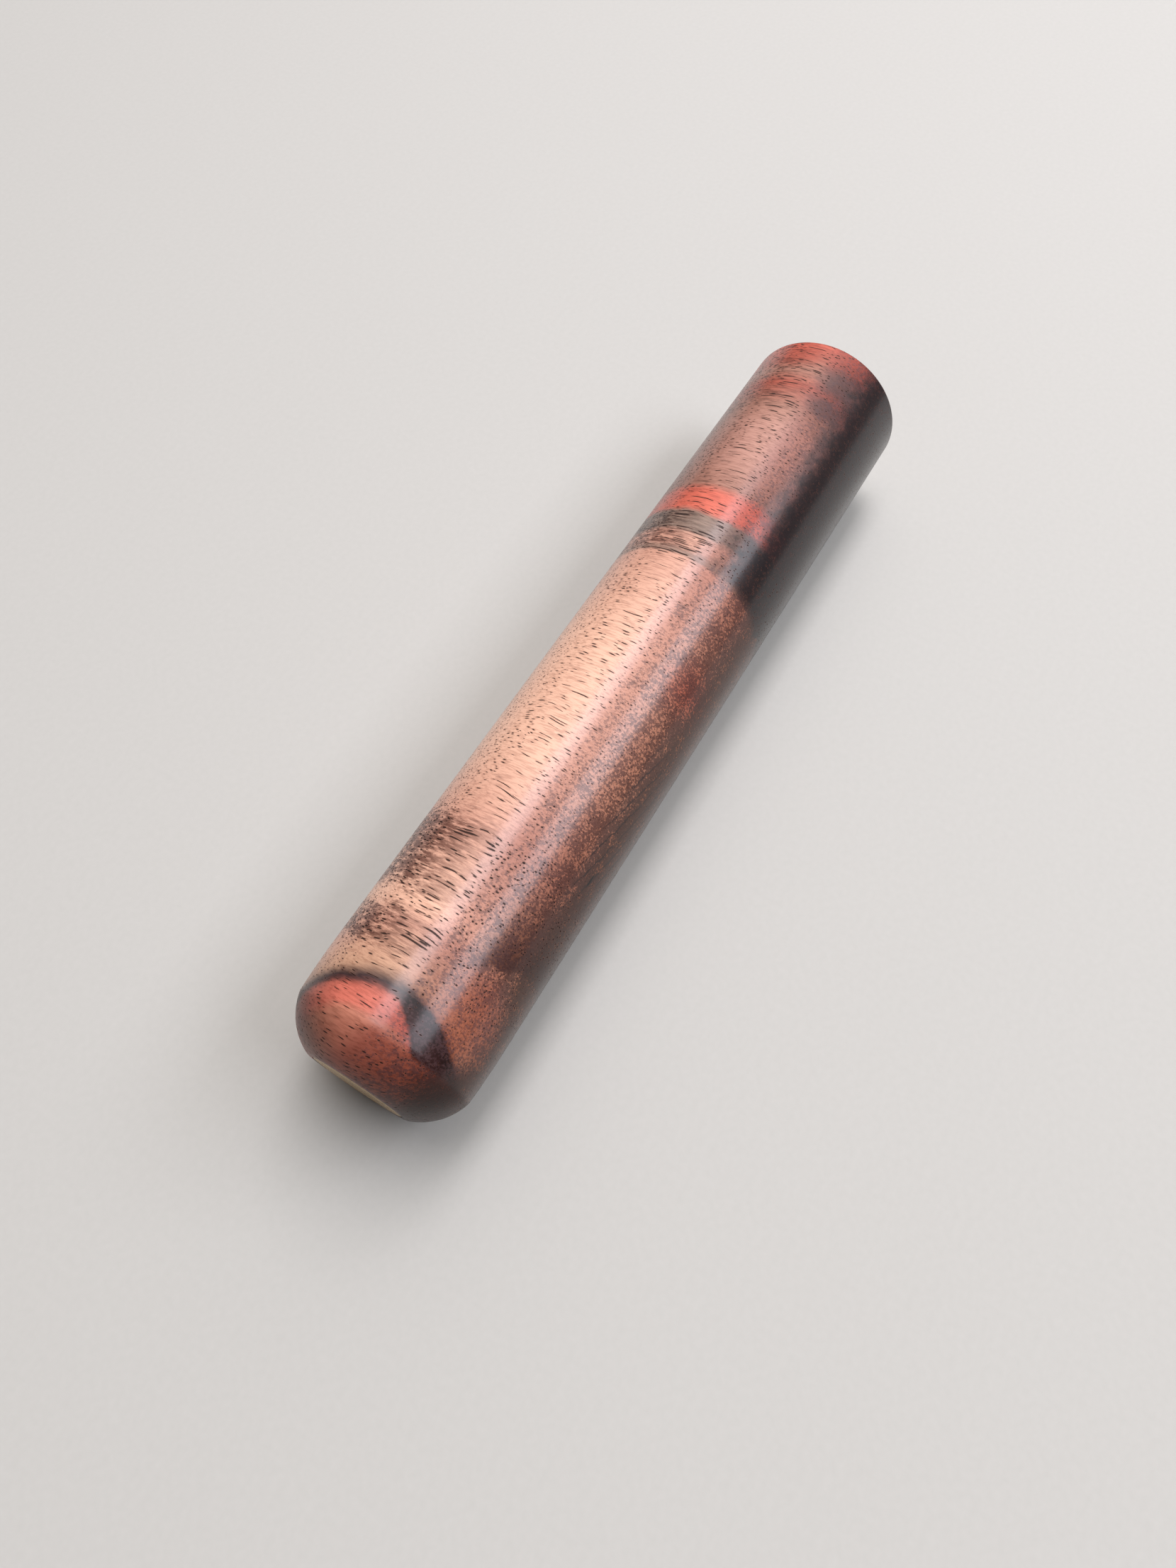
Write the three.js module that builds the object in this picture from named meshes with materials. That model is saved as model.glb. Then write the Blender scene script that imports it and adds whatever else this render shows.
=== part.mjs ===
// A single clave: a straight, turned hardwood striking stick that lies on its side.
// One end is turned to a round shoulder with a flat face, and that face holds a flush brass button.
// The other end is cut square, with its edge eased.
//
// Millimetres, +Z up. The stick's axis runs along X, with the rounded end at -X and the square end at +X.
// The origin is below the middle of the stick, on the surface that it lies on.

import * as THREE from "three";

// ---------- driving dimensions ----------

const STICK_LENGTH = 152;
const STICK_DIAMETER = 29.5;

// The rounded end, from the barrel outwards: a long easing, a crisp turning line, then the round shoulder.
const EASING_LENGTH = 8.5;
const EASING_DROP = 0.29; // how far the radius has fallen by the turning line
const SHOULDER_LENGTH = 6.5; // from the turning line to the flat face
const SHOULDER_ROUND = 9.8; // radius of the shoulder's arc
const FACE_RADIUS = 8.4; // the flat that is left in the middle of the rounded end
const SQUARE_EDGE_ROUND = 0.6; // easing of the square end's edge

const BUTTON_RADIUS = 7.5; // brass head, let in flush with the flat face
const BUTTON_THICKNESS = 2.2; // the head's own thickness
const SPIGOT_RADIUS = 4.6; // shank behind the head, bonded into the stick
const SPIGOT_LENGTH = 13;
const SPIGOT_CHAMFER = 0.8;
const GLUE_GROOVE_DEPTH = 0.5;
const GLUE_GROOVE_WIDTH = 1.2;
const GLUE_GROOVE_OFFSETS = [2.4, 5.2, 8.0]; // where each groove starts, behind the head
const BOND_GAP = 0.15; // glue line between the brass and the wood, all round

// ---------- fineness of the round surfaces ----------

const TURN_STEPS = 60; // facets round the axis; a multiple of 4 puts flats at the top, bottom and sides
const RESTING_FACET_STEPS = 3; // the facet that the stick lies on is as wide as this odd number of them
const EASING_STEPS = 4;
const SHOULDER_STEPS = 14;
const EDGE_STEPS = 4;

// ---------- values worked out from them ----------

const STICK_RADIUS = STICK_DIAMETER / 2;
const TURNING_LINE_RADIUS = STICK_RADIUS - EASING_DROP;
const ROUNDED_END_X = -STICK_LENGTH / 2;
const SQUARE_END_X = STICK_LENGTH / 2;
const TURNING_LINE_X = ROUNDED_END_X + SHOULDER_LENGTH;
const HEAD_BACK_X = ROUNDED_END_X + BUTTON_THICKNESS;
const SPIGOT_TIP_X = HEAD_BACK_X + SPIGOT_LENGTH;

// ---------- helpers ----------

// A profile point: x along the stick, r from its axis.
function at(x, r) {
  return new THREE.Vector2(r, x);
}

// Points along an arc of the given radius that bulges away from the stick's axis.
// It runs from start to end, and start lies at the lower x.
function outwardArc(start, end, radius, steps) {
  const chord = end.clone().sub(start);
  const middle = start.clone().add(end).multiplyScalar(0.5);
  const rise = Math.sqrt(radius ** 2 - chord.lengthSq() / 4);
  const inward = new THREE.Vector2(-chord.y, chord.x).normalize();
  const centre = middle.addScaledVector(inward, rise);
  const from = start.clone().sub(centre).angle();
  const to = end.clone().sub(centre).angle();
  const sweep = THREE.MathUtils.euclideanModulo(to - from + Math.PI, 2 * Math.PI) - Math.PI;
  return Array.from({ length: steps + 1 }, (_, i) => {
    const angle = from + (sweep * i) / steps;
    return new THREE.Vector2(Math.cos(angle), Math.sin(angle)).multiplyScalar(radius).add(centre);
  });
}

// Widens the lowest facet, by bringing the corners beside it down into its plane.
function widenLowestFacet(corners) {
  const halfAngle = (RESTING_FACET_STEPS * Math.PI) / TURN_STEPS;
  const cornerToFlat = Math.cos(Math.PI / TURN_STEPS);
  for (let i = 0; i < corners.count; i++) {
    const fromBelow = Math.atan2(corners.getY(i), -corners.getZ(i));
    if (Math.abs(fromBelow) > halfAngle + 1e-6) continue;
    const depth = Math.hypot(corners.getY(i), corners.getZ(i)) * cornerToFlat;
    corners.setY(i, depth * Math.tan(fromBelow));
    corners.setZ(i, -depth);
  }
}

// Turns a profile round the stick's axis. The profile starts and ends on that axis.
// All facets touch the true round. The lowest is the widest, so that the stick lies still on it.
function turned(name, profile, material) {
  const flatToCorner = 1 / Math.cos(Math.PI / TURN_STEPS);
  const corners = profile.map((point) => at(point.y, point.x * flatToCorner));
  const geometry = new THREE.LatheGeometry(corners, TURN_STEPS, Math.PI / TURN_STEPS);
  geometry.rotateZ(-Math.PI / 2); // lathe axis Y becomes the stick's axis X
  widenLowestFacet(geometry.attributes.position);
  const mesh = new THREE.Mesh(geometry, material);
  mesh.name = name;
  mesh.position.set(0, 0, STICK_RADIUS);
  return mesh;
}

// ---------- materials ----------

const hardwood = new THREE.MeshStandardMaterial({
  name: "turned_hardwood",
  color: 0x8a5a48,
  roughness: 0.38,
  metalness: 0,
});

const brass = new THREE.MeshStandardMaterial({
  name: "button_brass",
  color: 0xc9a050,
  roughness: 0.28,
  metalness: 1,
});

// ---------- the stick ----------

// The hole that takes the button: a counterbore for its head and a narrower bore for its spigot.
function buttonHole() {
  const headHoleRadius = BUTTON_RADIUS + BOND_GAP;
  const boreRadius = SPIGOT_RADIUS + BOND_GAP;
  return [
    at(SPIGOT_TIP_X + BOND_GAP, 0),
    at(SPIGOT_TIP_X + BOND_GAP, boreRadius),
    at(HEAD_BACK_X + BOND_GAP, boreRadius),
    at(HEAD_BACK_X + BOND_GAP, headHoleRadius),
    at(ROUNDED_END_X, headHoleRadius),
  ];
}

function shoulder() {
  const rim = at(ROUNDED_END_X, FACE_RADIUS);
  const turningLine = at(TURNING_LINE_X, TURNING_LINE_RADIUS);
  return outwardArc(rim, turningLine, SHOULDER_ROUND, SHOULDER_STEPS);
}

// The easing meets the barrel without a corner, and the shoulder at the turning line.
function easing() {
  const radius = (EASING_LENGTH ** 2 + EASING_DROP ** 2) / (2 * EASING_DROP);
  const turningLine = at(TURNING_LINE_X, TURNING_LINE_RADIUS);
  const barrelStart = at(TURNING_LINE_X + EASING_LENGTH, STICK_RADIUS);
  return outwardArc(turningLine, barrelStart, radius, EASING_STEPS).slice(1);
}

function squareEnd() {
  const easedFrom = at(SQUARE_END_X - SQUARE_EDGE_ROUND, STICK_RADIUS);
  const easedTo = at(SQUARE_END_X, STICK_RADIUS - SQUARE_EDGE_ROUND);
  return [...outwardArc(easedFrom, easedTo, SQUARE_EDGE_ROUND, EDGE_STEPS), at(SQUARE_END_X, 0)];
}

function makeStick() {
  return turned("stick", [...buttonHole(), ...shoulder(), ...easing(), ...squareEnd()], hardwood);
}

// ---------- the brass button ----------

// Grooves round the spigot hold the glue.
function glueGrooves() {
  const floorRadius = SPIGOT_RADIUS - GLUE_GROOVE_DEPTH;
  return GLUE_GROOVE_OFFSETS.flatMap((offset) => [
    at(HEAD_BACK_X + offset, SPIGOT_RADIUS),
    at(HEAD_BACK_X + offset, floorRadius),
    at(HEAD_BACK_X + offset + GLUE_GROOVE_WIDTH, floorRadius),
    at(HEAD_BACK_X + offset + GLUE_GROOVE_WIDTH, SPIGOT_RADIUS),
  ]);
}

function makeButton() {
  const head = [
    at(ROUNDED_END_X, 0),
    at(ROUNDED_END_X, BUTTON_RADIUS),
    at(HEAD_BACK_X, BUTTON_RADIUS),
    at(HEAD_BACK_X, SPIGOT_RADIUS),
  ];
  const tip = [
    at(SPIGOT_TIP_X - SPIGOT_CHAMFER, SPIGOT_RADIUS),
    at(SPIGOT_TIP_X, SPIGOT_RADIUS - SPIGOT_CHAMFER),
    at(SPIGOT_TIP_X, 0),
  ];
  return turned("brass_end_button", [...head, ...glueGrooves(), ...tip], brass);
}

// ---------- the object ----------

const clave = new THREE.Group();
clave.name = "clave";
clave.add(makeStick(), makeButton());

export default clave;
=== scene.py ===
import math

import bpy
from mathutils import Matrix, Vector


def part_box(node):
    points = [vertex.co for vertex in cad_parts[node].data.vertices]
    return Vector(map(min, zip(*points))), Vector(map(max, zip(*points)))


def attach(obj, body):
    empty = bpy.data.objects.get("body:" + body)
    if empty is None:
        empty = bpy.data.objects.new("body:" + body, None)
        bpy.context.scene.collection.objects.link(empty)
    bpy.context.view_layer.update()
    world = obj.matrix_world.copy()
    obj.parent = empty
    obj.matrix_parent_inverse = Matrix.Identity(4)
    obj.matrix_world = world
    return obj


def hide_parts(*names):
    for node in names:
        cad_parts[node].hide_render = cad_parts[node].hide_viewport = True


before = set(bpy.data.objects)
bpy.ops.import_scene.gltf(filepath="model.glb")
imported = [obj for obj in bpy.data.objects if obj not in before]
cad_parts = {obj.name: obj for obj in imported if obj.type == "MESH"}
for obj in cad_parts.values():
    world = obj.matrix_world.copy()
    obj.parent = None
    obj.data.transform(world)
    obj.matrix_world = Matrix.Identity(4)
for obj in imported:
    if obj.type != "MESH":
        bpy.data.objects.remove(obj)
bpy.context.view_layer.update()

MM = 0.001

# ---------- sizes, from the frame ----------

STICK_LOW, STICK_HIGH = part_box("stick")
BUTTON_LOW, BUTTON_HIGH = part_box("brass_end_button")
STICK_RADIUS = (STICK_HIGH[2] - STICK_LOW[2]) / 2
STICK_LENGTH = STICK_HIGH[0] - STICK_LOW[0]
AXIS = Vector((0, 0, (STICK_HIGH[2] + STICK_LOW[2]) / 2))
ROUNDED_END = STICK_LOW[0]
SQUARE_END = STICK_HIGH[0]
BUTTON_RADIUS = (BUTTON_HIGH[2] - BUTTON_LOW[2]) / 2
BUTTON_TIP = BUTTON_HIGH[0]

# The rounded end, from the flat face to the barrel.
FACE_RADIUS = 8.4 * MM
SHOULDER_LENGTH = 6.5 * MM
SHOULDER_ROUND = 9.8 * MM
EASING_LENGTH = 8.5 * MM
EASING_DROP = 0.29 * MM
FACE_CORNER_ROUND = 0.25 * MM
SQUARE_CORNER_ROUND = 0.6 * MM

# The hole in the rounded end, and the button in it.
GLUE_LINE = 0.1 * MM
HEAD_THICKNESS = 2.2 * MM
SPIGOT_RADIUS = 4.6 * MM
SPIGOT_CHAMFER = 0.8 * MM
BUTTON_CORNER_ROUND = 0.15 * MM

# How finely the turned pieces are made.
TURN_STEPS = 192  # round the axis
SHOULDER_STEPS = 28
EASING_STEPS = 12
CORNER_STEPS = 8
CRISP_DEGREES = 30  # corners sharper than this stay crisp
MERGE_DISTANCE = 0.002 * MM

# ---------- small helpers ----------


def nothing_selected():
    for thing in bpy.context.selected_objects:
        thing.select_set(False)


def linear(hex_colour):
    """A screen colour, such as 0xC09070, as the linear colour with alpha that a shader takes."""
    channels = [(hex_colour >> shift & 255) / 255 for shift in (16, 8, 0)]
    light = [c / 12.92 if c <= 0.04045 else ((c + 0.055) / 1.055) ** 2.4 for c in channels]
    return light + [1.0]


def arc_points(start, end, radius, steps):
    """Points (x, r) along an arc that bulges away from the stick's axis, from low x to high."""
    start, end = Vector(start), Vector(end)
    chord = end - start
    inward = Vector((chord.y, -chord.x)).normalized()
    centre = (start + end) / 2 + inward * math.sqrt(radius**2 - chord.length_squared / 4)
    first = math.atan2(start.y - centre.y, start.x - centre.x)
    last = math.atan2(end.y - centre.y, end.x - centre.x)
    turns = [first + (last - first) * i / steps for i in range(steps + 1)]
    return [(centre.x + radius * math.cos(t), centre.y + radius * math.sin(t)) for t in turns]


# ---------- turned pieces ----------


def turn(name, profile):
    """Turns a profile of (x, r) points: a point drawn out into a line, spun round the axis."""
    nothing_selected()
    bpy.ops.mesh.primitive_plane_add(size=MM, location=(0, 0, 0))
    piece = bpy.context.object
    piece.name = name
    bpy.ops.object.mode_set(mode="EDIT")
    bpy.ops.mesh.merge(type="CENTER")
    place = Vector((0, 0, 0))
    for number, (x, r) in enumerate(profile):
        target = AXIS + Vector((x, 0, r))
        if number == 0:
            bpy.ops.transform.translate(value=target - place)
        else:
            bpy.ops.mesh.extrude_region_move(TRANSFORM_OT_translate={"value": target - place})
        place = target
    bpy.ops.mesh.select_all(action="SELECT")
    bpy.ops.mesh.spin(steps=TURN_STEPS, angle=2 * math.pi, center=AXIS, axis=(1, 0, 0))
    bpy.ops.mesh.select_all(action="SELECT")
    bpy.ops.mesh.remove_doubles(threshold=MERGE_DISTANCE)
    bpy.ops.mesh.normals_make_consistent(inside=False)
    bpy.ops.object.mode_set(mode="OBJECT")
    bpy.ops.object.shade_smooth_by_angle(angle=math.radians(CRISP_DEGREES))
    return piece


def stick_profile():
    hole = BUTTON_RADIUS + GLUE_LINE
    bore = SPIGOT_RADIUS + GLUE_LINE
    head_floor = ROUNDED_END + HEAD_THICKNESS + GLUE_LINE
    turning_line = (ROUNDED_END + SHOULDER_LENGTH, STICK_RADIUS - EASING_DROP)
    barrel_start = (turning_line[0] + EASING_LENGTH, STICK_RADIUS)
    easing_round = (EASING_LENGTH**2 + EASING_DROP**2) / (2 * EASING_DROP)
    face_corner = (ROUNDED_END, FACE_RADIUS - FACE_CORNER_ROUND * 0.6)
    shoulder_start = (ROUNDED_END + FACE_CORNER_ROUND * 0.4, FACE_RADIUS + FACE_CORNER_ROUND)
    square_round_start = (SQUARE_END - SQUARE_CORNER_ROUND, STICK_RADIUS)
    square_round_end = (SQUARE_END, STICK_RADIUS - SQUARE_CORNER_ROUND)
    return [
        (BUTTON_TIP + GLUE_LINE, 0),
        (BUTTON_TIP + GLUE_LINE, bore),
        (head_floor, bore),
        (head_floor, hole),
        (ROUNDED_END, hole),
        face_corner,
        *arc_points(shoulder_start, turning_line, SHOULDER_ROUND, SHOULDER_STEPS),
        *arc_points(turning_line, barrel_start, easing_round, EASING_STEPS)[1:],
        *arc_points(square_round_start, square_round_end, SQUARE_CORNER_ROUND, CORNER_STEPS),
        (SQUARE_END, STICK_RADIUS * 0.5),
        (SQUARE_END, 0),
    ]


def button_profile():
    head_back = ROUNDED_END + HEAD_THICKNESS
    corner = BUTTON_CORNER_ROUND
    return [
        (ROUNDED_END, 0),
        (ROUNDED_END, BUTTON_RADIUS * 0.5),
        (ROUNDED_END, BUTTON_RADIUS - corner),
        (ROUNDED_END + corner * 0.3, BUTTON_RADIUS - corner * 0.3),
        (ROUNDED_END + corner, BUTTON_RADIUS),
        (head_back, BUTTON_RADIUS),
        (head_back, SPIGOT_RADIUS),
        (BUTTON_TIP - SPIGOT_CHAMFER, SPIGOT_RADIUS),
        (BUTTON_TIP, SPIGOT_RADIUS - SPIGOT_CHAMFER),
        (BUTTON_TIP, 0),
    ]


# ---------- material helpers ----------


class Sheet:
    """One node tree, with short ways to add and join its nodes."""

    def __init__(self, tree):
        self.tree = tree

    def node(self, kind, **settings):
        made = self.tree.nodes.new(kind)
        for name, value in settings.items():
            setattr(made, name, value)
        return made

    def feed(self, socket, value):
        if isinstance(value, bpy.types.NodeSocket):
            self.tree.links.new(value, socket)
        else:
            socket.default_value = value

    def math(self, operation, first, second=0.0, third=0.0, clamp=False):
        made = self.node("ShaderNodeMath", operation=operation, use_clamp=clamp)
        for socket, value in zip(made.inputs, (first, second, third)):
            self.feed(socket, value)
        return made.outputs[0]

    def times(self, first, second):
        return self.math("MULTIPLY", first, second)

    def scaled(self, value, factor, added):
        """value * factor + added"""
        return self.math("MULTIPLY_ADD", value, factor, added)

    def swing(self, noise, width, added):
        """(noise - 0.5) * width + added: what is given, swung both ways by a noise."""
        return self.scaled(self.math("SUBTRACT", noise, 0.5), width, added)

    def vector_math(self, operation, *values):
        made = self.node("ShaderNodeVectorMath", operation=operation)
        for socket, value in zip(made.inputs, values):
            self.feed(socket, value)
        return made.outputs["Value" if operation in ("LENGTH", "DOT_PRODUCT") else "Vector"]

    def parts(self, vector):
        """The vector's X, Y and Z."""
        made = self.node("ShaderNodeSeparateXYZ")
        self.feed(made.inputs[0], vector)
        return made.outputs["X"], made.outputs["Y"], made.outputs["Z"]

    def joined(self, **parts):
        """A vector from its X, Y and Z, and 0 for any that isn't given."""
        made = self.node("ShaderNodeCombineXYZ")
        for label, value in parts.items():
            self.feed(made.inputs[label], value)
        return made.outputs[0]

    def mix(self, factor, first, second, blend="MIX"):
        made = self.node("ShaderNodeMix", data_type="RGBA", blend_type=blend, clamp_factor=True)
        self.feed(made.inputs["Factor"], factor)
        self.feed(made.inputs["A"], first)
        self.feed(made.inputs["B"], second)
        return made.outputs["Result"]

    def between(self, value, low, high, smooth=True):
        """0 below low, 1 above high. With low above high it runs the other way."""
        kind = "SMOOTHSTEP" if smooth else "LINEAR"
        made = self.node("ShaderNodeMapRange", interpolation_type=kind)
        flipped = low > high
        self.feed(made.inputs["Value"], value)
        made.inputs["From Min"].default_value = high if flipped else low
        made.inputs["From Max"].default_value = low if flipped else high
        made.inputs["To Min"].default_value = 1.0 if flipped else 0.0
        made.inputs["To Max"].default_value = 0.0 if flipped else 1.0
        return made.outputs["Result"]

    def noise(self, vector, scale, detail=4.0, rough=0.5, twist=0.0, colour=False):
        made = self.node("ShaderNodeTexNoise")
        self.feed(made.inputs["Vector"], vector)
        self.feed(made.inputs["Scale"], scale)
        made.inputs["Detail"].default_value = detail
        made.inputs["Roughness"].default_value = rough
        made.inputs["Distortion"].default_value = twist
        return made.outputs["Color" if colour else "Fac"]

    def mapped(self, vector, scale=(1, 1, 1), turn=(0, 0, 0), shift=(0, 0, 0)):
        made = self.node("ShaderNodeMapping")
        self.feed(made.inputs["Vector"], vector)
        made.inputs["Scale"].default_value = scale
        made.inputs["Rotation"].default_value = turn
        made.inputs["Location"].default_value = shift
        return made.outputs["Vector"]

    def ramp(self, value, stops):
        """stops: (position, colour) from left to right, and at most 32 of them."""
        made = self.node("ShaderNodeValToRGB")
        self.feed(made.inputs["Fac"], value)
        elements = made.color_ramp.elements
        while len(elements) < len(stops):
            elements.new(0.5)
        for element, (position, colour) in zip(elements, stops):
            element.position = position
            element.color = colour
        return made.outputs["Color"]

    def bump(self, height, distance, strength=1.0, normal=None):
        made = self.node("ShaderNodeBump")
        self.feed(made.inputs["Height"], height)
        made.inputs["Distance"].default_value = distance
        made.inputs["Strength"].default_value = strength
        if normal is not None:
            self.feed(made.inputs["Normal"], normal)
        return made.outputs["Normal"]


def new_material(name):
    material = bpy.data.materials.new(name)
    material.use_nodes = True
    material.node_tree.nodes.clear()
    sheet = Sheet(material.node_tree)
    shader = sheet.node("ShaderNodeBsdfPrincipled")
    output = sheet.node("ShaderNodeOutputMaterial")
    sheet.feed(output.inputs["Surface"], shader.outputs["BSDF"])
    place = sheet.node("ShaderNodeTexCoord").outputs["Object"]
    return material, sheet, shader, place


def new_group(name, inputs, outputs):
    """A shader group. inputs and outputs: each socket's name to its (type, default or None)."""
    tree = bpy.data.node_groups.new(name, "ShaderNodeTree")
    for direction, sockets in (("INPUT", inputs), ("OUTPUT", outputs)):
        for label, (kind, default) in sockets.items():
            socket = tree.interface.new_socket(name=label, in_out=direction, socket_type=kind)
            if default is not None:
                socket.default_value = default
    sheet = Sheet(tree)
    given = sheet.node("NodeGroupInput").outputs
    return tree, sheet, given, sheet.node("NodeGroupOutput").inputs


def use_group(sheet, tree, **values):
    made = sheet.node("ShaderNodeGroup", node_tree=tree)
    for label, value in values.items():
        sheet.feed(made.inputs[label], value)
    return made.outputs


NUMBER = "NodeSocketFloat"
VECTOR = "NodeSocketVector"

# ---------- effects that several materials share ----------


def scratches_group():
    """Fine straight scratches along X of the vector they are given, a few of them deeper."""
    tree, sheet, given, out = new_group(
        "fine scratches",
        {"Vector": (VECTOR, None), "Density": (NUMBER, 6000.0)},
        {"Height": (NUMBER, None), "Deep": (NUMBER, None)},
    )
    stretched = sheet.mapped(given["Vector"], scale=(0.02, 1, 1))
    fine = sheet.noise(stretched, given["Density"], detail=3, rough=0.7)
    coarse = sheet.noise(stretched, sheet.times(given["Density"], 0.35), detail=1)
    sheet.feed(out["Height"], fine)
    sheet.feed(out["Deep"], sheet.between(coarse, 0.66, 0.74))
    return tree


# ---------- hardwood ----------

GRAIN_TURN = math.radians(12)  # the face grain looks this far to the +Y side of straight up
HALF_LENGTH = STICK_LENGTH / 2 / MM  # in millimetres, as all of the wood's figure is

# The figure's own colours.
PEACH = 0xDEAE94
WARM_PEACH = 0xD4A28A
PINK_TAN = 0xC9957F
TAN = 0xC09478
SALMON = 0xB4745E
RED = 0xCC6450
RING_RED = 0xC66A58
DULL_RED = 0xA45241
END_RED = 0xBE5A48
GREY_BROWN = 0x8A7264
ROSE_BROWN = 0xA0705F
PALE_ROSE = 0xB28272
END_BROWN = 0x80564A
DOME_BROWN = 0xA66653
RING_LINE = 0x3A2A2A

# Colours that are laid over it. Some of them are painted shade, or partly so, marked where they
# stand.
WARM_BROWN = 0xB06A4C
SMOKE = 0x62494A
VEIN_BROWN = 0x5A4440
WEDGE_BLACK = 0x241A1C
DOME_FRONT_BROWN = 0xA4624E
BLOT_BROWN = 0x4A3A3C
HEART_RIM_TINT = 0xDCCBCD
# Partly the heartwood's darker tone, partly painted shade on the -Y side, which the light leaves
# dim.
HEART_DARK_AND_PAINTED_SHADE = 0xA48450
OUTER_GRAIN = 0x52393C
INNER_GRAIN = 0x301D19
HEART_BLACK = 0x191416
CRACK_BLACK = 0x0C0A0A
# Painted shade, partly over darker wood, on the dome's two sides; and painted shade on the +Y flank
# of the far third.
DOME_SIDE_DARK_AND_PAINTED_SHADE = 0x2A1A16
DOME_BACK_BROWN_AND_PAINTED_SHADE = 0x3A2018
FAR_FLANK_PAINTED_SHADE = 0x9A8276
SAWN_BROWN = 0x6A4238
FIBRE_BROWN = 0x8F6A5C
PORE_STAIN = 0x6A4034
PORE_BLACK = 0x1C100D

# The figure, from the rounded end to the square end: millimetres along the stick, and the wood's
# colour. The last few lie past the square end, and show there where the rings bend.
FIGURE = [
    (6.2, DOME_BROWN),
    (7.4, SALMON),
    (8.8, RING_RED),
    (11.0, RING_RED),
    (12.0, RING_LINE),
    (12.7, RING_LINE),
    (14.6, TAN),
    (21.0, PINK_TAN),
    (24.0, PEACH),
    (38.0, PINK_TAN),
    (45.0, WARM_PEACH),
    (52.0, PEACH),
    (76.0, PEACH),
    (94.4, PINK_TAN),
    (95.2, GREY_BROWN),
    (97.0, PINK_TAN),
    (99.6, PINK_TAN),
    (100.6, GREY_BROWN),
    (104.4, GREY_BROWN),
    (105.4, RED),
    (109.8, RED),
    (111.8, ROSE_BROWN),
    (120.0, PALE_ROSE),
    (128.0, PALE_ROSE),
    (134.0, ROSE_BROWN),
    (140.0, DULL_RED),
    (144.0, ROSE_BROWN),
    (147.0, DULL_RED),
    (151.0, END_RED),
    (154.5, DULL_RED),
    (157.0, ROSE_BROWN),
    (160.0, END_BROWN),
]

# Bands of smoky streaks along the pores: millimetres from the rounded end, and strength.
SMOKE_BANDS = [
    (0.0, 0.2),
    (14.5, 0.15),
    (17.0, 0.9),
    (21.0, 0.8),
    (23.5, 0.2),
    (26.0, 0.85),
    (36.5, 0.95),
    (40.0, 0.3),
    (48.0, 0.2),
    (84.0, 0.15),
    (86.0, 0.4),
    (88.0, 0.15),
    (94.0, 0.3),
    (96.0, 0.8),
    (104.0, 0.7),
    (106.0, 0.2),
    (111.0, 0.4),
    (130.0, 0.3),
    (134.0, 0.55),
    (152.0, 0.55),
]


def wood_place(sheet, place):
    """Millimetres from the stick's axis, turned so that Y runs along the pores."""
    centred = sheet.mapped(place, shift=-AXIS)
    return sheet.mapped(centred, scale=(1 / MM, 1 / MM, 1 / MM), turn=(GRAIN_TURN, 0, 0))


def on_barrel(from_end, degrees):
    """The wood coordinates of a point on the barrel: millimetres from the rounded end, and degrees
    from the top towards -Y."""
    turned = math.radians(degrees) + GRAIN_TURN
    radius = STICK_RADIUS / MM
    return from_end - HALF_LENGTH, -radius * math.sin(turned), radius * math.cos(turned)


def figure_group():
    """Where a point lies in the figure: Along is millimetres along the stick, bent and wavered as
    growth rings are, and Heart is the distance from the dark heart of the tree."""
    tree, sheet, given, out = new_group(
        "growth rings",
        {"Vector": (VECTOR, None)},
        {"Along": (NUMBER, None), "Heart": (NUMBER, None)},
    )
    wood = given["Vector"]
    x, y, z = sheet.parts(wood)
    from_end = sheet.math("ADD", x, HALF_LENGTH)
    # rings bow towards the rounded end, most strongly there
    _, _, up = sheet.parts(sheet.mapped(wood, turn=(math.radians(-18), 0, 0)))
    height = sheet.math("DIVIDE", up, STICK_RADIUS / MM)
    bow = sheet.scaled(sheet.between(from_end, 30.0, 10.0), 10.5, 0.5)
    bent = sheet.scaled(sheet.math("SUBTRACT", 1.0, height), bow, from_end)
    beyond = sheet.math("MAXIMUM", sheet.scaled(y, -0.14, -0.8), 0.0)
    bent = sheet.scaled(beyond, sheet.between(from_end, 30.0, 14.0), bent)
    # slow waver, and a fine raggedness along the fibres
    slow = sheet.noise(sheet.mapped(wood, scale=(0.5, 0.5, 1)), 0.2, detail=2)
    fine = sheet.noise(sheet.mapped(wood, scale=(1, 0.16, 1)), 1.4, detail=3, rough=0.6)
    sway = sheet.scaled(sheet.between(z, 7.5, 0.0), 6.0, 1.6)
    sway = sheet.scaled(sheet.between(from_end, 140.0, 152.0), 9.0, sway)
    bent = sheet.swing(slow, sway, bent)
    bent = sheet.swing(fine, 1.2, bent)
    sheet.feed(out["Along"], bent)
    # the heart lies below the stick's axis, on the -Y side
    from_heart = sheet.joined(Y=sheet.math("ADD", y, 16.0), Z=sheet.math("ADD", z, 6.0))
    sheet.feed(out["Heart"], sheet.vector_math("LENGTH", from_heart))
    return tree


def patch_group():
    """A soft-edged patch of other colour, used for figure and for painted shade: 1 at its centre, 0
    outside its size.
    """
    tree, sheet, given, out = new_group(
        "patch of colour",
        {
            "Vector": (VECTOR, None),
            "Centre": (VECTOR, None),
            "Size": (VECTOR, None),
            "Edge": (NUMBER, 0.5),
        },
        {"Mask": (NUMBER, None)},
    )
    away = sheet.vector_math("SUBTRACT", given["Vector"], given["Centre"])
    length = sheet.vector_math("LENGTH", sheet.vector_math("DIVIDE", away, given["Size"]))
    inside = sheet.math("SUBTRACT", 1.0, length)
    sheet.feed(out["Mask"], sheet.math("DIVIDE", inside, given["Edge"], clamp=True))
    return tree


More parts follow.
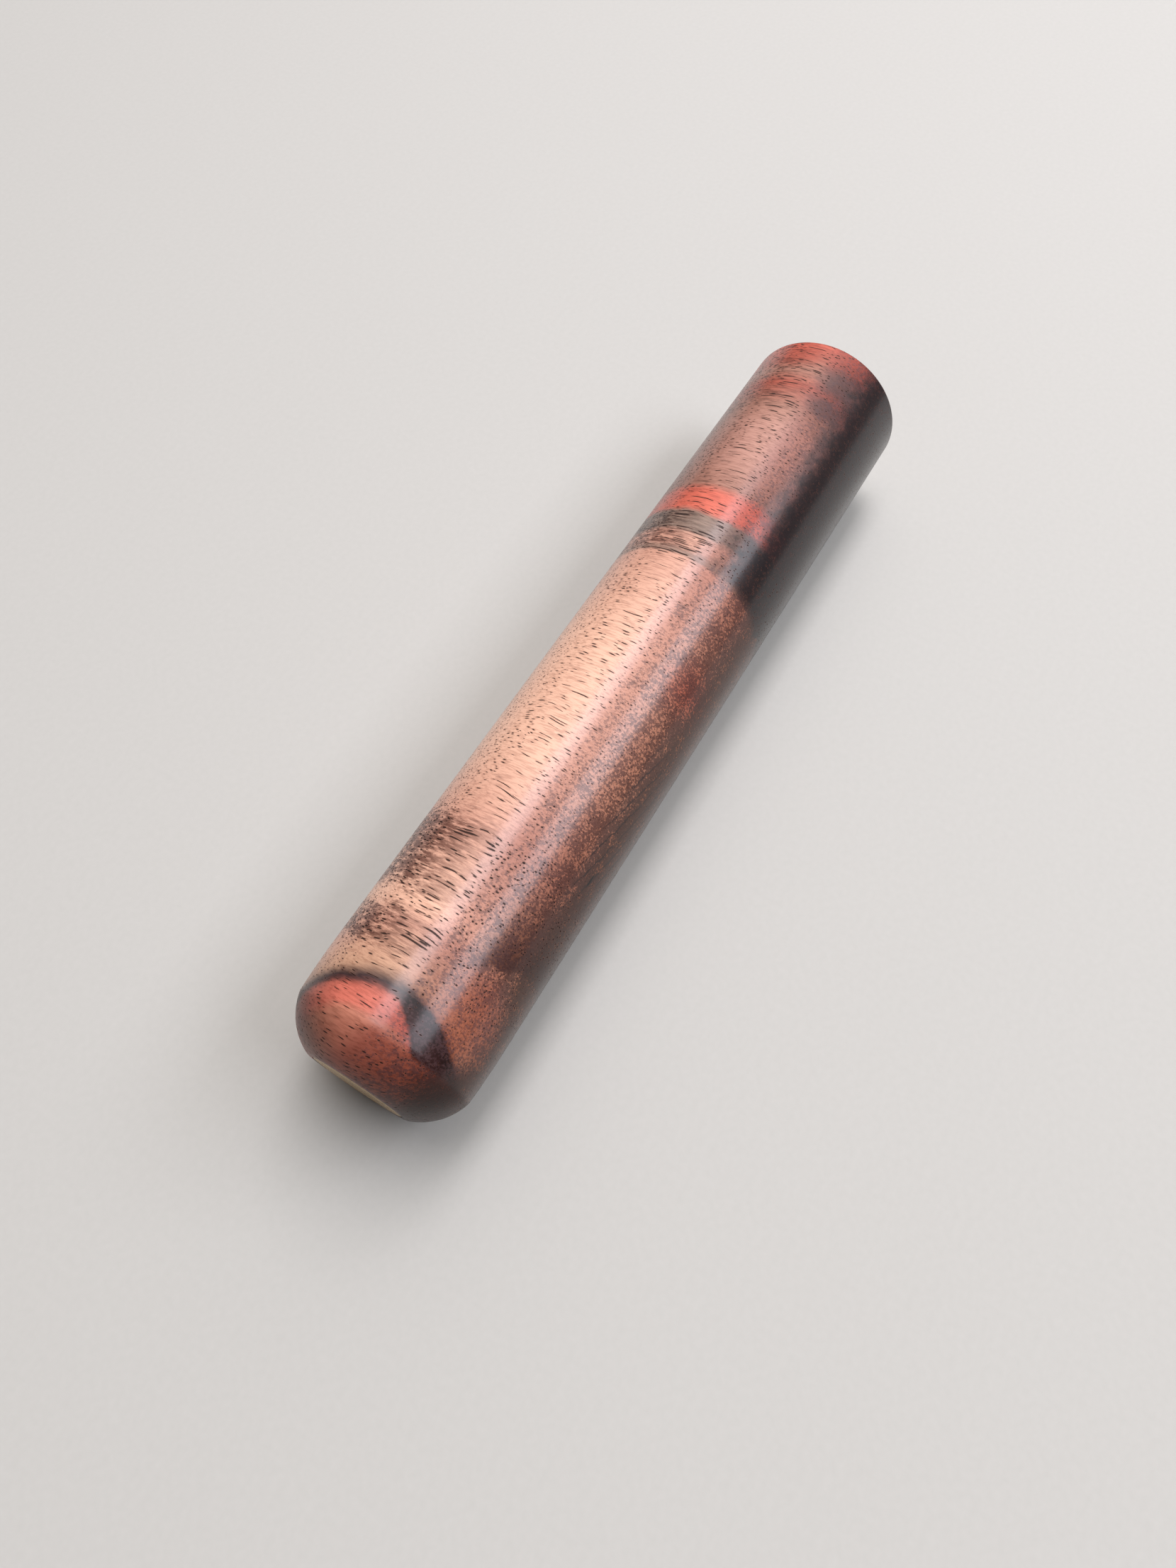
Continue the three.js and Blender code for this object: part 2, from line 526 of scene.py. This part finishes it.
def pores_group():
    """Open pores: long tubes along Y of the vector. Deep is the bore itself, Stain the dark wood
    round it."""
    tree, sheet, given, out = new_group(
        "open pores",
        {
            "Vector": (VECTOR, None),
            "Spacing": (NUMBER, 0.48),
            "Radius": (NUMBER, 0.075),
            "Share": (NUMBER, 0.6),
        },
        {"Deep": (NUMBER, None), "Stain": (NUMBER, None)},
    )
    wood, spacing = given["Vector"], given["Spacing"]
    # the tubes wander a little to the side as they go
    wander = sheet.noise(sheet.mapped(wood, scale=(1.2, 1, 1.2)), 0.11, detail=1, colour=True)
    x, _, z = sheet.parts(sheet.vector_math("MULTIPLY_ADD", wander, (2.4, 0.0, 2.4), wood))
    cells = sheet.node("ShaderNodeTexVoronoi", voronoi_dimensions="2D", feature="F1")
    cell_place = sheet.joined(
        X=sheet.math("DIVIDE", x, spacing), Y=sheet.math("DIVIDE", z, spacing)
    )
    sheet.feed(cells.inputs["Vector"], cell_place)
    cells.inputs["Scale"].default_value = 1.0
    away = sheet.times(cells.outputs["Distance"], spacing)
    # only a share of the cells hold a pore, and parts of the pores are filled
    chance = sheet.node("ShaderNodeSeparateColor")
    sheet.feed(chance.inputs[0], cells.outputs["Color"])
    there = sheet.math("LESS_THAN", chance.outputs["Red"], given["Share"])
    filling = sheet.noise(sheet.mapped(wood, scale=(1, 0.3, 1)), 1.3, detail=2)
    there = sheet.times(there, sheet.between(filling, 0.40, 0.48))
    # each pore has its own width
    width = sheet.times(given["Radius"], sheet.math("ADD", chance.outputs["Green"], 0.6))
    into = sheet.math("DIVIDE", away, width)
    sheet.feed(out["Deep"], sheet.times(sheet.between(into, 1.1, 0.8), there))
    sheet.feed(out["Stain"], sheet.times(sheet.between(into, 2.4, 0.6), there))
    return tree


class Hardwood:
    """The figured hardwood. Its colour is built up from the figure, one layer over another, with
    some painted shade laid in.
    """

    def __init__(self, sheet, place):
        self.sheet = sheet
        self.place = place
        self.wood = wood_place(sheet, place)
        rings = use_group(sheet, figure_group(), Vector=self.wood)
        self.along, self.heart = rings["Along"], rings["Heart"]
        x, self.across, self.up = sheet.parts(self.wood)
        self.from_end = sheet.math("ADD", x, HALF_LENGTH)
        self.patch_tree = patch_group()
        # ragged coordinates, for patches whose edges follow the fibres
        rag = sheet.noise(self.stretched(1, 0.35, 1), 0.9, detail=4, rough=0.65, colour=True)
        centred = sheet.mapped(self.wood, shift=(-1.6, -2.0, -1.6))
        self.ragged = sheet.vector_math("MULTIPLY_ADD", rag, (3.2, 4.0, 3.2), centred)
        # textures that several layers share
        self.wobble = sheet.math("SUBTRACT", sheet.noise(self.wood, 0.6, rough=0.65), 0.5)
        self.clouds = sheet.noise(self.wood, 0.42, rough=0.6)
        self.grains = sheet.noise(self.stretched(1, 0.45, 1), 2.7, detail=3, rough=0.7)

    def stretched(self, *scale):
        return self.sheet.mapped(self.wood, scale=scale)

    def patch(self, from_end, degrees, size, edge=0.5, vector=None):
        """A patch round a point on the barrel, in ragged coordinates unless others are given."""
        return use_group(
            self.sheet,
            self.patch_tree,
            Vector=self.ragged if vector is None else vector,
            Centre=on_barrel(from_end, degrees),
            Size=size,
            Edge=edge,
        )["Mask"]

    def lay(self, mask, strength, paint, blend="MIX"):
        """Lays a colour over the wood where the mask is."""
        paint = linear(paint) if isinstance(paint, int) else paint
        self.colour = self.sheet.mix(self.sheet.times(mask, strength), self.colour, paint, blend)

    def figure(self):
        last = FIGURE[-1][0]
        stops = [(at / last, linear(colour)) for at, colour in FIGURE]
        at_stop = self.sheet.math("DIVIDE", self.along, last, clamp=True)
        self.colour = self.sheet.ramp(at_stop, stops)
        self.warm_side = self.patch(14, 46, (8.5, 7, 9), 0.6)
        self.lay(self.patch(75, 52, (7, 6, 9), 0.9), 0.7, RED)
        self.lay(self.warm_side, 0.7, WARM_BROWN)

    def smoke(self):
        """Smoky streaks along the pores, in bands that drift lower down and fade towards -Y."""
        sheet = self.sheet
        drift = sheet.noise(self.stretched(0.6, 0.6, 1), 0.22, detail=3, rough=0.6)
        reach = sheet.scaled(sheet.between(self.up, 7.5, 0.0), 16.0, 2.0)
        drift = sheet.times(sheet.math("SUBTRACT", drift, 0.5), reach)
        self.drifted = sheet.math("ADD", self.from_end, drift)
        at_stop = sheet.math("DIVIDE", self.drifted, STICK_LENGTH / MM, clamp=True)
        stops = [(at * MM / STICK_LENGTH, (grey, grey, grey, 1)) for at, grey in SMOKE_BANDS]
        self.smoke_share = sheet.ramp(at_stop, stops)
        streak = sheet.noise(self.stretched(1, 0.13, 0.6), 1.8, detail=5, rough=0.72)
        streak = sheet.math("ADD", streak, sheet.scaled(self.smoke_share, 0.3, -0.64))
        streak = sheet.math("MULTIPLY", streak, 6.0, clamp=True)
        on_top = sheet.scaled(sheet.between(self.across, -7.5, 6.5), 0.8, 0.08)
        self.lay(streak, on_top, SMOKE, "MULTIPLY")

    def vein(self):
        """A dark vein that leans across the -Y side, with smoky wood behind it."""
        sheet = self.sheet
        at = sheet.scaled(self.wobble, 5.0, sheet.scaled(self.across, 0.7, self.from_end))
        vein = sheet.times(sheet.between(at, 13.2, 14.2), sheet.between(at, 27.0, 14.4))
        vein = sheet.times(vein, sheet.between(self.across, -8.0, -11.5))
        self.lay(vein, 0.8, VEIN_BROWN, "MULTIPLY")

    def wedge(self):
        """The dark ring of the rounded end widens into a wedge, which stops at the turning line."""
        sheet = self.sheet
        widening = sheet.between(self.across, -4.0, -12.0, smooth=False)
        inside = sheet.math("SUBTRACT", self.along, sheet.scaled(widening, -6.0, 12.0))
        wedge = sheet.times(sheet.between(inside, -0.4, 0.6), sheet.between(self.along, 13.5, 12.7))
        wedge = sheet.times(wedge, sheet.between(self.across, -3.5, -6.0))
        self.lay(wedge, 0.95, WEDGE_BLACK)
        on_dome = sheet.between(self.from_end, 6.6, 5.8)
        front = sheet.times(on_dome, sheet.between(self.across, -3.0, -7.0))
        self.lay(front, 0.9, DOME_FRONT_BROWN)

    def blots(self):
        first = self.patch(143.5, 17, (5, 5, 6), 0.6)
        second = self.patch(137, 16, (3.5, 4, 5), 0.6)
        self.lay(self.sheet.math("MAXIMUM", first, second), 0.7, BLOT_BROWN)

    def heartwood(self):
        """Grains of dark heartwood, thicker and thicker towards the heart, over a darkening of the
        heart side that is partly painted shade.
        """
        sheet, heart = self.sheet, self.heart
        spared = sheet.scaled(self.warm_side, -0.6, 1.0)
        self.towards = sheet.times(sheet.between(heart, 24.0, 10.0, smooth=False), spared)
        onset = sheet.scaled(sheet.between(heart, 23.6, 21.6), 0.19, -0.97)
        share = sheet.scaled(self.clouds, 0.5, sheet.scaled(self.towards, 0.22, onset))
        dark = sheet.math("ADD", self.grains, share)
        dark = sheet.math("MULTIPLY", dark, 8.0, clamp=True)
        self.lay(sheet.between(heart, 25.2, 22.4), 1.0, HEART_RIM_TINT, "MULTIPLY")
        # the heart side darkens: partly the heartwood's tone, partly painted shade on the side
        # turned from the light
        deepest = sheet.times(sheet.between(heart, 12.5, 7.0), 0.26)
        self.lay(sheet.scaled(self.towards, 0.72, deepest), 1.0, HEART_DARK_AND_PAINTED_SHADE, "MULTIPLY")
        grain_colour = sheet.mix(self.towards, linear(OUTER_GRAIN), linear(INNER_GRAIN))
        self.lay(dark, sheet.scaled(self.towards, 0.32, 0.56), grain_colour)

    def growth_lines(self):
        """Growth lines on the end grain, and one short crack along them."""
        sheet, from_end = self.sheet, self.from_end
        at = sheet.scaled(from_end, 0.28, sheet.scaled(self.wobble, 1.2, self.heart))
        line = sheet.math("PINGPONG", sheet.math("DIVIDE", at, 1.9), 0.5)
        line = sheet.times(sheet.between(line, 0.12, 0.03), sheet.between(self.heart, 14.0, 12.0))
        part = sheet.times(
            sheet.between(from_end, 34.0, 42.0), sheet.between(from_end, 72.0, 58.0)
        )
        self.lay(sheet.times(line, part), 0.7, HEART_BLACK)
        crack = self.patch(41.3, 65, (1.5, 2, 0.3), vector=self.wood)
        self.lay(crack, 1.0, CRACK_BLACK)

    def black_heart(self):
        """Past the grey band the heartwood is nearly black. It reaches furthest up inside it."""
        sheet, from_end = self.sheet, self.from_end
        reach = sheet.times(
            sheet.between(from_end, 94.5, 97.0), sheet.between(from_end, 106.0, 103.5)
        )
        reach = sheet.scaled(sheet.between(from_end, 108.0, 110.0), 0.4, reach)
        at = sheet.scaled(reach, -2.6, sheet.scaled(self.wobble, 7.0, self.heart))
        at = sheet.swing(self.clouds, 5.0, at)
        at = sheet.swing(self.grains, 5.0, at)
        black = sheet.times(sheet.between(at, 19.8, 14.6), sheet.between(self.drifted, 93.0, 96.5))
        self.lay(black, 0.94, HEART_BLACK)

    def painted_side_shade_and_sawn_end(self):
        # painted shade, partly over darker wood: the dome's -Y side and its +Y side are darkened
        # where the light falls off
        self.lay(self.patch(2, 62, (6, 6, 9), 0.6), 0.85, DOME_SIDE_DARK_AND_PAINTED_SHADE)
        self.lay(self.patch(1, -52, (11, 10.5, 12), 0.85), 0.95, DOME_BACK_BROWN_AND_PAINTED_SHADE)
        # painted shade: the +Y flank of the far third is darkened
        self.lay(self.patch(122, -64, (34, 12, 12), 0.8), 0.8, FAR_FLANK_PAINTED_SHADE, "MULTIPLY")
        # the sawn face of the square end is duller and darker
        self.lay(self.sheet.between(self.from_end, 151.3, 151.9), 0.6, SAWN_BROWN)

    def fibres_and_pores(self):
        sheet = self.sheet
        fibre = sheet.noise(self.stretched(1, 0.08, 1), 3.2, detail=3, rough=0.7)
        self.lay(sheet.between(fibre, 0.56, 0.36), 0.35, FIBRE_BROWN, "MULTIPLY")
        share = sheet.scaled(self.smoke_share, 0.4, 0.68)
        fewer = sheet.scaled(sheet.between(self.across, -4.0, -7.0), -0.5, 1.0)
        pores = use_group(
            sheet,
            pores_group(),
            Vector=self.wood,
            Share=sheet.times(share, fewer),
            Radius=sheet.scaled(self.smoke_share, 0.042, 0.062),
        )
        self.pore = pores["Deep"]
        self.lay(pores["Stain"], 0.35, PORE_STAIN)
        self.lay(self.pore, 0.9, PORE_BLACK)

    def finish(self, shader):
        """An oiled or thinly lacquered gloss, weaker on the dome and broken by the pores."""
        sheet = self.sheet
        gloss = sheet.scaled(self.grains, 0.2, sheet.scaled(self.pore, 0.3, 0.26))
        sheet.feed(shader.inputs["Roughness"], gloss)
        shader.inputs["IOR"].default_value = 1.5
        shader.inputs["Specular IOR Level"].default_value = 0.14
        coat = sheet.scaled(sheet.between(self.from_end, 5.8, 6.8), 0.34, 0.16)
        unfilled = sheet.scaled(self.pore, -0.85, 1.0)
        sheet.feed(shader.inputs["Coat Weight"], sheet.times(coat, unfilled))
        shader.inputs["Coat Roughness"].default_value = 0.2

    def relief(self, shader, scratches):
        """Fine scratches, the open grain of the heartwood, and the pores."""
        sheet = self.sheet
        lines = use_group(sheet, scratches, Vector=self.place)
        normal = sheet.bump(lines["Height"], 0.002 * MM, strength=0.5)
        open_grain = sheet.times(self.grains, sheet.math("ADD", self.towards, 0.2))
        normal = sheet.bump(open_grain, 0.025 * MM, strength=0.7, normal=normal)
        normal = sheet.bump(sheet.times(self.pore, -1.0), 0.03 * MM, strength=0.7, normal=normal)
        sheet.feed(shader.inputs["Normal"], normal)


def hardwood(scratches):
    material, sheet, shader, place = new_material("figured hardwood")
    wood = Hardwood(sheet, place)
    wood.figure()
    wood.smoke()
    wood.vein()
    wood.wedge()
    wood.blots()
    wood.heartwood()
    wood.growth_lines()
    wood.black_heart()
    wood.painted_side_shade_and_sawn_end()
    wood.fibres_and_pores()
    sheet.feed(shader.inputs["Base Color"], wood.colour)
    wood.finish(shader)
    wood.relief(shader, scratches)
    return material


# ---------- brass ----------

BRASS_BRIGHT = 0xBE974E
BRASS_TARNISHED = 0x826335
BRASS_RIM = 0x7A5A2A


def button_brass(scratches):
    material, sheet, shader, place = new_material("turned brass")
    _, y, z = sheet.parts(sheet.mapped(place, shift=-AXIS))
    # rings left by facing the end in the lathe
    outwards = sheet.math("SQRT", sheet.scaled(z, z, sheet.math("POWER", y, 2.0)))
    ring_place = sheet.joined(X=outwards)
    rings = sheet.noise(ring_place, 9000.0, detail=2, rough=0.6)

    wide_rings = sheet.noise(ring_place, 2400.0, detail=2, rough=0.7)
    tarnish = sheet.swing(wide_rings, 0.45, sheet.noise(place, 700.0, detail=6, rough=0.7))
    dull = sheet.between(tarnish, 0.36, 0.8)
    colour = sheet.mix(dull, linear(BRASS_BRIGHT), linear(BRASS_TARNISHED))
    rim = sheet.between(outwards, BUTTON_RADIUS * 0.9, BUTTON_RADIUS)
    colour = sheet.mix(sheet.times(rim, 0.5), colour, linear(BRASS_RIM))
    sheet.feed(shader.inputs["Base Color"], colour)
    shader.inputs["Metallic"].default_value = 1.0
    sheet.feed(shader.inputs["Roughness"], sheet.scaled(dull, 0.22, 0.24))

    # scratches cross the face at a slant
    crossing = sheet.mapped(place, turn=(0, 0, math.radians(90)))
    slanted = sheet.mapped(crossing, turn=(math.radians(35), 0, 0))
    lines = use_group(sheet, scratches, Vector=slanted)
    normal = sheet.bump(rings, 0.01 * MM, strength=0.5)
    normal = sheet.bump(lines["Deep"], 0.02 * MM, strength=0.6, normal=normal)
    sheet.feed(shader.inputs["Normal"], normal)
    return material


# ---------- the object ----------

scratches = scratches_group()

stick = turn("turned_stick", stick_profile())
stick.data.materials.append(hardwood(scratches))
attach(stick, "root")
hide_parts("stick")

button = turn("brass_button", button_profile())
button.data.materials.append(button_brass(scratches))
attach(button, "root")
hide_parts("brass_end_button")

# ---------- floor, lights and camera ----------

FLOOR_SIDE = 4  # metres
FLOOR_LIGHT = 0xB3B0AA
FLOOR_DARK = 0xADAAA4

SKY_BRIGHTEST = Vector((0.48, 0.12, 0.87)).normalized()  # towards the brightest part
SKY_COLOUR = (1.0, 0.98, 0.96, 1)

CAMERA_PLACE = Vector((-0.0822, -0.0415, 0.1625))
CAMERA_AIM = Vector((-0.0122, 0.0006, 0))
SENSOR_WIDTH = 36
FOCAL_LENGTH = 23.6
NEAREST_SEEN = 0.005


def pale_floor():
    nothing_selected()
    bpy.ops.mesh.primitive_plane_add(size=FLOOR_SIDE, location=(0, 0, 0))
    floor = bpy.context.object
    floor.name = "floor"
    material, sheet, shader, place = new_material("pale floor")
    speckle = sheet.noise(place, 900.0, detail=3)
    colour = sheet.mix(speckle, linear(FLOOR_LIGHT), linear(FLOOR_DARK))
    sheet.feed(shader.inputs["Base Color"], colour)
    shader.inputs["Roughness"].default_value = 0.9
    floor.data.materials.append(material)


def soft_light(name, place, aim, length, width, power, colour):
    """A rectangle of light whose length runs along the stick."""
    light = bpy.data.lights.new(name, "AREA")
    light.shape = "RECTANGLE"
    light.size, light.size_y = length, width
    light.energy = power
    light.color = colour
    lamp = bpy.data.objects.new(name, light)
    bpy.context.collection.objects.link(lamp)
    backwards = (Vector(place) - Vector(aim)).normalized()
    along = Vector((1, 0, 0))
    along = (along - backwards * backwards.dot(along)).normalized()
    turn_matrix = Matrix((along, backwards.cross(along), backwards)).transposed()
    lamp.matrix_world = Matrix.Translation(place) @ turn_matrix.to_4x4()


def soft_sky():
    """Light from all round, brightest from above the square end, with no edge to reflect."""
    world = bpy.data.worlds.new("studio")
    bpy.context.scene.world = world
    world.use_nodes = True
    sheet = Sheet(world.node_tree)
    looking = sheet.node("ShaderNodeTexCoord").outputs["Generated"]
    facing = sheet.vector_math("DOT_PRODUCT", looking, SKY_BRIGHTEST)
    lobe = sheet.math("POWER", sheet.math("MAXIMUM", facing, 0.0), 6.0)
    background = world.node_tree.nodes["Background"]
    sheet.feed(background.inputs["Strength"], sheet.scaled(lobe, 2.75, 0.05))
    background.inputs["Color"].default_value = SKY_COLOUR


def camera_view():
    camera = bpy.data.objects.new("camera", bpy.data.cameras.new("camera"))
    bpy.context.collection.objects.link(camera)
    camera.location = CAMERA_PLACE
    camera.rotation_euler = (CAMERA_AIM - camera.location).to_track_quat("-Z", "Y").to_euler()
    camera.data.sensor_width = SENSOR_WIDTH
    camera.data.lens = FOCAL_LENGTH
    camera.data.clip_start = NEAREST_SEEN
    bpy.context.scene.camera = camera


pale_floor()
soft_light(
    "overhead strip",
    place=(0.43, 0.1, 0.98),
    aim=(0.43, 0, 0),
    length=1.04,
    width=0.3,
    power=8.4,
    colour=(0.94, 0.93, 1.0),
)
soft_light(
    "side strip",
    place=(0.56, -0.8, 0.95),
    aim=(0.56, 0, 0),
    length=1.3,
    width=0.5,
    power=15.0,
    colour=(0.87, 0.9, 1.0),
)
soft_sky()
bpy.context.scene.view_settings.view_transform = "Standard"
camera_view()
